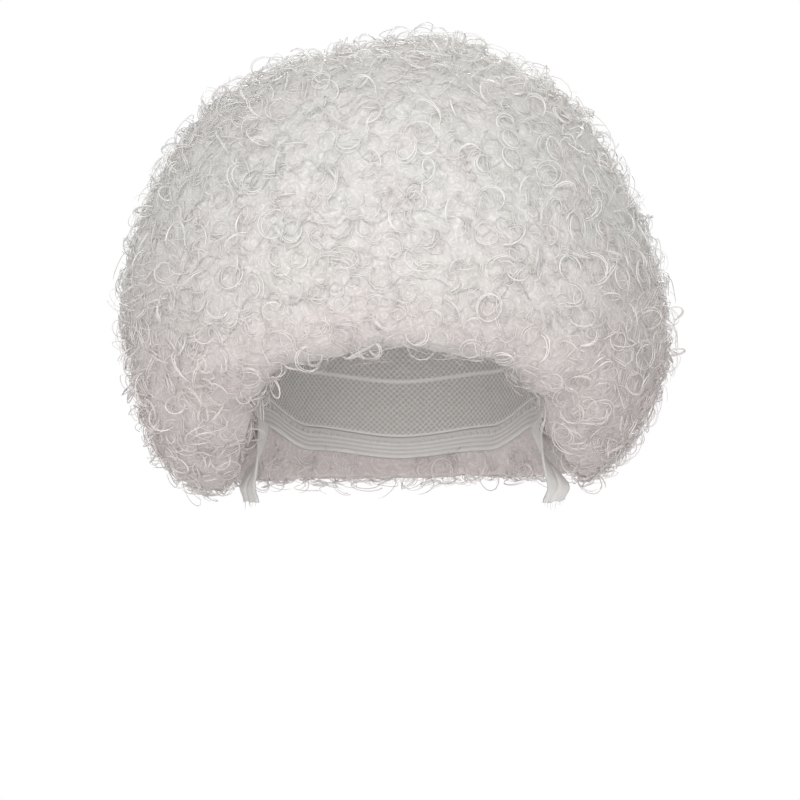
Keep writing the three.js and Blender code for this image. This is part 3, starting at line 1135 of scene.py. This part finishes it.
@dataclass(frozen=True)
class ElasticBand:
    """The ribbed elastic round the cap's edge and the zigzag stitch that holds it."""

    form: HairForm
    wall: float = BAND_WALL
    slices: int = 168
    ribs: int = 5
    rib_steps: int = 6
    rib_height: float = 0.35 * MM
    thread: float = 0.5 * MM
    zigzags: int = 120
    zigzag_steps: int = 6
    stitch_start: float = 0.12
    stitch_width: float = 0.3
    sunk: float = 0.2

    def skin(self) -> Skin:
        """Skin the band. Its inside has ribs, a squared sine across the width.

        Returns:
            The closed skin.
        """
        azimuth = slices_round(self.slices)
        gap = np.degrees(self.form.seam_gap / (self.form.head.breadth / 2))
        top = self.form.cap_angle(WEFTS - 1.0, azimuth) + gap
        end = self.form.cap_angle(float(WEFTS), azimuth)
        t = np.linspace(0, 1, self.rib_steps * self.ribs + 1)[None]
        polar = top + (end - top) * t
        rib = self.rib_height * np.sin(np.pi * self.ribs * t) ** 2
        outside = self.form.head.point(polar, azimuth, self.form.cap_wall)
        inside = self.form.head.point(polar, azimuth, self.form.cap_wall - self.wall + self.rib_height - rib)
        return Skin.ring(np.concatenate([outside, inside[:, ::-1]], axis=1))

    def stitch(self) -> Skin:
        """Lay the zigzag thread: the way across the band is a rounded triangle wave of the way round.

        Returns:
            The closed skin of the thread.
        """
        steps = self.zigzags * self.zigzag_steps
        azimuth = np.linspace(-180, 179.5, steps)
        wave = np.arcsin(0.96 * np.sin(np.radians(azimuth) * self.zigzags)) / np.pi + 0.5
        top = self.form.cap_angle(WEFTS - 1.0, azimuth)
        end = self.form.cap_angle(float(WEFTS), azimuth)
        polar = top + (end - top) * (self.stitch_start + self.stitch_width * wave)
        proud = self.form.cap_wall - self.wall - self.thread * self.sunk
        path = self.form.head.point(polar, azimuth, proud)
        outward = self.form.head.point(polar, azimuth, 1.0) - self.form.head.point(polar, azimuth, 0.0)
        radii = np.full((1, steps), self.thread / 2)
        return Skin.tubes(path[None], outward[None], radii, np.array([0.9]), sides=5)


class TabRow(NamedTuple):
    """One section of a tab: shares of its length, its whole turn, the edge's slope and its swing."""

    drop: float
    turn: float
    slope: float
    swing: float


TAB_ROWS = (
    TabRow(0.0, 0.0, 1.0, 0.0),
    TabRow(0.2, 0.1, 0.7, 0.1),
    TabRow(0.45, 0.36, 0.2, 0.38),
    TabRow(0.64, 0.7, 0.0, 0.72),
    TabRow(0.82, 1.0, -0.1, 1.0),
    TabRow(1.0, 1.0, -0.2, 0.78),
)


@dataclass(frozen=True)
class SideTab:
    """The cloth tab at one side. Side is 1 for the wearer's left and -1 for the wearer's right."""

    node: str
    side: int
    turned: float
    outward: float
    form: HairForm
    width: float = 13 * MM
    length: float = 42 * MM
    wall: float = 1.2 * MM
    azimuth: float = 109.0
    slices: int = 28
    steps: int = 21
    rows: int = 49
    crease: float = 0.9 * MM
    ragged: float = 0.9 * MM

    def _edge(self) -> tuple[Array, Array]:
        """Find the two ends of the tab's seam on the band's lower edge, which has as many flats as slices.

        Returns:
            The end further round from the face and the nearer one.
        """
        step = 360.0 / self.slices
        azimuth = self.side * self.azimuth
        first = np.floor(azimuth / step) * step
        middle = self.form.cap_wall - BAND_WALL / 2
        ends = [self.form.head.point(self.form.cap_angle(float(WEFTS), a), a, middle) for a in (first, first + step)]
        reach = np.linalg.norm(ends[1] - ends[0])
        where = [(azimuth - first) / step + sign * self.width / 2 / reach for sign in (1, -1)]
        return tuple(ends[0] + (ends[1] - ends[0]) * t for t in where)

    def skin(self) -> Skin:
        """Skin the tab.

        Its middle drops by its length and swings out from the head, its width turns from the seam's direction
        towards the face, and a curved crease runs down it, a narrow dip across the width. The cut end is ragged by
        short waves.

        Returns:
            The closed skin with its loose threads.
        """
        far, near = self._edge()
        seam = unit(far - near)
        outward = unit(np.cross(seam, [0.0, 0.0, 1.0]))
        drop = np.linspace(0, 1, self.rows)[:, None]
        turn, slope, swing = (
            Table(tuple(r.drop for r in TAB_ROWS), tuple(getattr(r, key) for r in TAB_ROWS))(drop)
            for key in ("turn", "slope", "swing")
        )
        angle = -self.side * np.radians(turn * self.turned)
        face = stack(
            outward[0] * np.cos(angle) - outward[1] * np.sin(angle),
            outward[0] * np.sin(angle) + outward[1] * np.cos(angle),
            np.zeros_like(angle),
        )
        wide = np.cross([0.0, 0.0, 1.0], face)
        wide[..., 2] = seam[2] * slope
        w = np.linspace(-1, 1, self.steps)[None]
        middle = (far + near) / 2 + outward * (swing * self.outward * self.length)[..., None]
        middle = middle - np.array([0.0, 0.0, 1.0]) * (2 * self.form.seam_gap + drop * self.length)[..., None]
        fold = -self.crease * np.exp(-((w - 0.75 + 1.1 * drop ** 1.5) / 0.16) ** 2) * ease(drop * 2.5)
        curl = 0.5 * MM * w * w * ease(drop * 2)
        sheet = middle + wide * (w * self.width / 2)[..., None] + face * (fold - curl)[..., None]
        cut = self.ragged * (np.sin(7 * w + self.side) * 0.4 + np.sin(23 * w) * 0.25 + 0.4 * w)
        sheet[..., 2] += cut * ease((drop - 0.9) / 0.1)
        front = sheet + face * self.wall / 2
        rear = sheet - face * self.wall / 2
        loops = np.concatenate([front, rear[:, ::-1]], axis=1)
        return Skin.joined([_capped_sleeve(loops), self.threads(sheet[-1], face[-1, 0])])

    def threads(self, end: Array, face: Array) -> Skin:
        """Hang short loose threads from the cut end, each a gentle bow.

        Args:
            end: Points along the cut end.
            face: The direction that the cloth faces there.

        Returns:
            The closed skins of the threads as one.
        """
        rng = np.random.default_rng(THREAD_SEED + self.side)
        picks = end[rng.choice(len(end), 9, replace=False)]
        t = np.linspace(0, 1, 7)[None, :, None]
        length = across(rng, mm(1.5, 4), len(picks))[:, None, None]
        bow = rng.normal(size=(len(picks), 1, 3)) * 0.8 * MM
        paths = picks[:, None] + np.array([0, 0, -1.0]) * length * t + bow * t * t
        paths = paths + np.array([0, 0, 0.6 * MM])
        rims = np.broadcast_to(face, paths.shape)
        radii = np.full(paths.shape[:2], 0.11 * MM)
        return Skin.tubes(paths, rims, radii, np.full(len(picks), 0.8))


def _capped_sleeve(loops: Array) -> Skin:
    """Skin closed loops one below the other and close both ends.

    Args:
        loops: Points shaped (loops, points, 3), each loop the front edge points and then the rear ones reversed.

    Returns:
        The closed skin, its faces pointing out.
    """
    slot = np.arange(loops.shape[0] * loops.shape[1]).reshape(loops.shape[:2])
    over = np.roll(slot, -1, axis=1)
    walls = corners(slot[:-1], slot[1:], over[1:], over[:-1])
    half = slot.shape[1] // 2
    front, rear = np.arange(half), slot.shape[1] - 1 - np.arange(half)
    lids = []
    for loop, turn in ((slot[0], 1), (slot[-1], -1)):
        lid = corners(loop[front[:-1]], loop[front[1:]], loop[rear[1:]], loop[rear[:-1]])
        lids.append(lid[:, ::turn])
    points = loops.reshape(-1, 3)
    return Skin(points, np.full(len(points), 0.5), np.concatenate([walls, *lids]))


@dataclass(frozen=True)
class Dresser:
    """Turns skins into pieces that ride on the part."""

    body: str = "root"

    def piece(
        self, name: str, skin: Skin, material: bpy.types.Material, node: str, crease: float = 180.0,
    ) -> bpy.types.Object:
        """Make one piece of the wig.

        Args:
            name: The piece's name.
            skin: Its points and faces, in the part's frame.
            material: Its finish.
            node: The solid that the piece replaces.
            crease: Edges that turn by more than this many degrees stay sharp.

        Returns:
            The object, at the origin.
        """
        thing = build_object(name, skin, material, crease)
        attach(thing, self.body)
        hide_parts(node)
        LOG.info("%s: %d triangles", name, skin.triangle_count)
        return thing


def build_object(name: str, skin: Skin, material: bpy.types.Material, crease: float = 180.0) -> bpy.types.Object:
    """Put a skin into a smooth-shaded object at the origin.

    Args:
        name: The object's name.
        skin: Its points, faces and tones.
        material: Its material.
        crease: Edges that turn by more than this many degrees stay sharp.

    Returns:
        The object, linked into the scene.
    """
    mesh = bpy.data.meshes.new(name)
    mesh.vertices.add(len(skin.points))
    mesh.vertices.foreach_set("co", skin.points.astype(np.float32).ravel())
    loops = np.concatenate([skin.quads.ravel(), skin.triangles.ravel()])
    mesh.loops.add(len(loops))
    mesh.loops.foreach_set("vertex_index", loops.astype(np.int32))
    sizes = np.repeat([4, 3], [len(skin.quads), len(skin.triangles)])
    mesh.polygons.add(len(sizes))
    mesh.polygons.foreach_set("loop_start", (np.cumsum(sizes) - sizes).astype(np.int32))
    mesh.update(calc_edges=True)
    mesh.polygons.foreach_set("use_smooth", np.ones(len(sizes), dtype=bool))
    if crease < 180.0:
        mesh.set_sharp_from_angle(angle=np.radians(crease))
    tone = mesh.attributes.new("tone", "FLOAT", "POINT")
    tone.data.foreach_set("value", skin.tone.astype(np.float32))
    mesh.materials.append(material)
    thing = bpy.data.objects.new(name, mesh)
    bpy.context.scene.collection.objects.link(thing)
    return thing


@dataclass(frozen=True)
class Studio:
    """A plain pale floor, soft light and a level camera in front."""

    camera_y: float = -1.595
    camera_z: float = -0.107
    lens: float = 140.3
    floor_z: float = -1.25
    floor_half: float = 1.6
    surround: float = 0.42
    key_power: float = 35.0
    fill_power: float = 2.6
    glint_power: float = 5.5
    back_power: float = 32.0

    def camera(self) -> None:
        """Set the camera level, looking along +Y."""
        data = bpy.data.cameras.new("camera")
        data.lens = self.lens
        data.sensor_width = 36.0
        camera = bpy.data.objects.new("camera", data)
        camera.location = (0.0, self.camera_y, self.camera_z)
        camera.rotation_euler = (np.pi / 2, 0.0, 0.0)
        bpy.context.scene.collection.objects.link(camera)
        bpy.context.scene.camera = camera

    def floor(self) -> None:
        """Lay the floor as a thin closed slab."""
        h, z, t = self.floor_half, self.floor_z, 0.01
        points = np.array([[[x, y, level] for x, y in ((-h, -h), (h, -h), (h, h), (-h, h))] for level in (z, z - t)])
        faces = [[0, 1, 2, 3], [7, 6, 5, 4]]
        faces += [[k, k + 4, (k + 1) % 4 + 4, (k + 1) % 4] for k in range(4)]
        graph = Graph("floor", Specular_IOR_Level=0.1)
        clouds = graph.noise(3.0)
        graph.feed("Base Color", graph.ramp(clouds, (0.3, (0.80, 0.80, 0.80)), (0.7, (0.83, 0.83, 0.83))))
        graph.feed("Roughness", clouds * 0.1 + 0.8)
        slab = Skin(points.reshape(-1, 3), np.full(8, 0.5), np.array(faces))
        floor = build_object("floor", slab, graph.material)
        floor.data.polygons.foreach_set("use_smooth", np.zeros(len(faces), dtype=bool))

    def light(self, name: str, place: tuple[float, float, float], size: float, power: float) -> None:
        """Hang a square soft light that faces the wig's middle.

        Args:
            name: The light's name.
            place: Where it hangs.
            size: The length of its sides.
            power: Its power in watts.
        """
        data = bpy.data.lights.new(name, "AREA")
        data.size = size
        data.energy = power
        lamp = bpy.data.objects.new(name, data)
        lamp.location = place
        toward = np.array([0.0, 0.0, -0.05]) - np.array(place)
        flat = np.hypot(toward[0], toward[1])
        lamp.rotation_euler = (np.pi / 2 + np.arctan2(toward[2], flat), 0.0, np.arctan2(-toward[0], toward[1]))
        bpy.context.scene.collection.objects.link(lamp)

    def surroundings(self) -> None:
        """Light the scene evenly from all round, and show plain white behind it."""
        world = bpy.data.worlds.new("studio")
        bpy.context.scene.world = world
        world.use_nodes = True
        tree = world.node_tree
        background = tree.nodes["Background"]
        seen = tree.nodes.new("ShaderNodeLightPath").outputs["Is Camera Ray"]
        level = tree.nodes.new("ShaderNodeMix")
        level.inputs["A"].default_value = self.surround
        level.inputs["B"].default_value = 1.0
        tree.links.new(seen, level.inputs["Factor"])
        tree.links.new(level.outputs["Result"], background.inputs["Strength"])
        background.inputs["Color"].default_value = (1.0, 1.0, 1.0, 1.0)

    def build(self) -> None:
        """Set up the whole studio."""
        self.camera()
        self.floor()
        self.light("key", (-0.15, -2.4, 0.2), 1.5, self.key_power)
        self.light("fill", (1.6, -1.6, 0.2), 1.4, self.fill_power)
        self.light("glint", (-0.4, -1.7, 1.0), 0.25, self.glint_power)
        self.light("back", (0.4, 2.1, 1.2), 1.2, self.back_power)
        self.surroundings()
        bpy.context.scene.view_settings.view_transform = "Standard"


def curl_styles() -> tuple[CurlStyle, ...]:
    """List the kinds of curl that every row has.

    Returns:
        The kinds, in the order in which they are grown.
    """
    return (
        CurlStyle(
            CurlKind.RINGLET, spacing=8.7 * MM, radius=mm(3.2, 6.2), turns=(1.1, 1.7),
            height=mm(2.5, 5), tilt=(0, 55), lift=mm(0.8, 3.6),
            thickness=mm(0.36, 0.6), steps=13, tone=(0.25, 0.65), strands=2,
        ),
        # Tone near 1: the loops take the lightest colour, partly painted highlight.
        CurlStyle(
            CurlKind.LOOP, spacing=14.5 * MM, radius=mm(5.0, 8.0), turns=(0.7, 1.3),
            height=mm(1, 4), tilt=(0, 80), lift=mm(2.2, 5.5),
            thickness=mm(0.36, 0.64), steps=15, tone=(0.9, 1.0), strands=2, loose=0.45 * MM,
        ),
        # Tone near 0: the wisps take the darkest colour, painted shade that darkens the outline.
        CurlStyle(
            CurlKind.WISP, spacing=12.5 * MM, radius=mm(4, 9), turns=(0.5, 1.3),
            height=mm(2, 8), tilt=(0, 90), lift=mm(3, 9.5),
            thickness=mm(0.25, 0.48), steps=13, tone=(0.0, 0.5),
        ),
        CurlStyle(
            CurlKind.FRIZZ, spacing=8.0 * MM, radius=mm(3, 8), turns=(0.3, 0.9),
            height=mm(3, 10), tilt=(0, 90), lift=mm(1, 7),
            thickness=mm(0.12, 0.24), steps=8, tone=(0.2, 0.7),
        ),
    )


def main() -> None:
    """Build the wig piece by piece, then the studio."""
    logging.basicConfig(level=logging.INFO, format="%(name)s: %(message)s")
    form = HairForm()
    dresser = Dresser()
    net = NetFinish(form.head).material()
    elastic = ElasticFinish().material()
    tab = TabFinish().material()
    # deep is painted shade, light partly painted highlight, low painted shade and a rosy painted reflection.
    hair = HairFinish(
        "curled_fibre", deep=(0.66, 0.64, 0.62), shade=(0.84, 0.815, 0.792), middle=(0.91, 0.887, 0.865),
        light=(0.99, 0.975, 0.955), low=(0.985, 0.94, 0.943), roughness=0.22,
    ).material()
    # The depth's colours are painted shade, edge is painted light beside the seams, low is painted shade low down.
    mass = MassFinish(
        "hair_depth_painted_shade", dark=(0.69, 0.671, 0.653), light=(0.74, 0.72, 0.70), edge=(0.84, 0.817, 0.795),
        low=(0.92, 0.865, 0.87),
    ).material()
    cap = dresser.piece("cap_net", NetCap(form).skin(), net, "net_cap")
    band = ElasticBand(form)
    strip = dresser.piece("band_elastic", band.skin(), elastic, "elastic_band")
    stitch = dresser.piece("band_stitch", band.stitch(), elastic, "elastic_band")
    tab_points, thinned = [], 5
    for side_tab in (SideTab("tab_left", 1, 80, 0.3, form), SideTab("tab_right", -1, 56, 0.22, form)):
        sheet = side_tab.skin()
        tab_points.append(sheet.points[::thinned])
        cloth = dresser.piece(f"{side_tab.node}_cloth", sheet, tab, side_tab.node)
    for number in range(1, WEFTS + 1):
        weft = Weft(number, form, curl_styles())
        dresser.piece(f"{weft.node}_mass", weft.mass(), mass, weft.node, crease=50.0)
        dresser.piece(f"{weft.node}_curls", weft.curls(), hair, weft.node)
    dresser.piece("rim_curls", weft.under_curls(np.concatenate(tab_points)), hair, weft.node)
    Studio().build()


if __name__ == "__main__":
    main()
